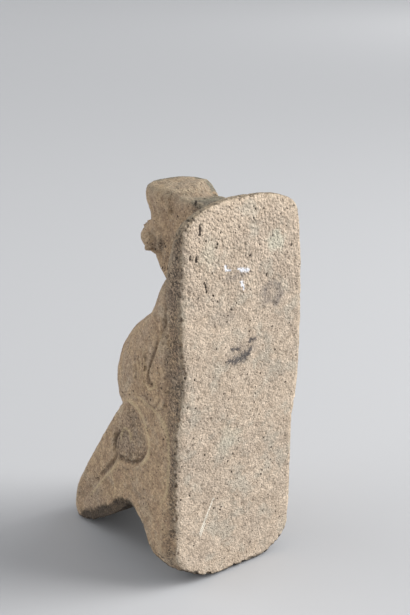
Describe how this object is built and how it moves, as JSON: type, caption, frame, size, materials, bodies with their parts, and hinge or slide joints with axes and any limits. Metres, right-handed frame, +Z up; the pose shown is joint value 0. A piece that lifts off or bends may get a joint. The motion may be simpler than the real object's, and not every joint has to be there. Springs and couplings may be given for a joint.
{
  "type": "carved stone palma",
  "caption": "Tall carved stone slab with a plain back, a squatting pot-bellied figure in round relief on its front, and an arched foot.",
  "frame": {"origin": "middle of the footprint, on the plane that the toes and the slab's foot stand on", "axes": "+Z up along the slab's height, -Y the way the figure faces, +Y out of the plain back, +X to the right as the figure is seen from the front"},
  "size_m": [0.1232, 0.1696, 0.3],
  "materials": {
    "stone": "rough, coarse-grained and pitted volcanic stone with a brown patina on the carved sides"
  },
  "bodies": {
    "root": {"palma": "stone"}
  },
  "joints": []
}
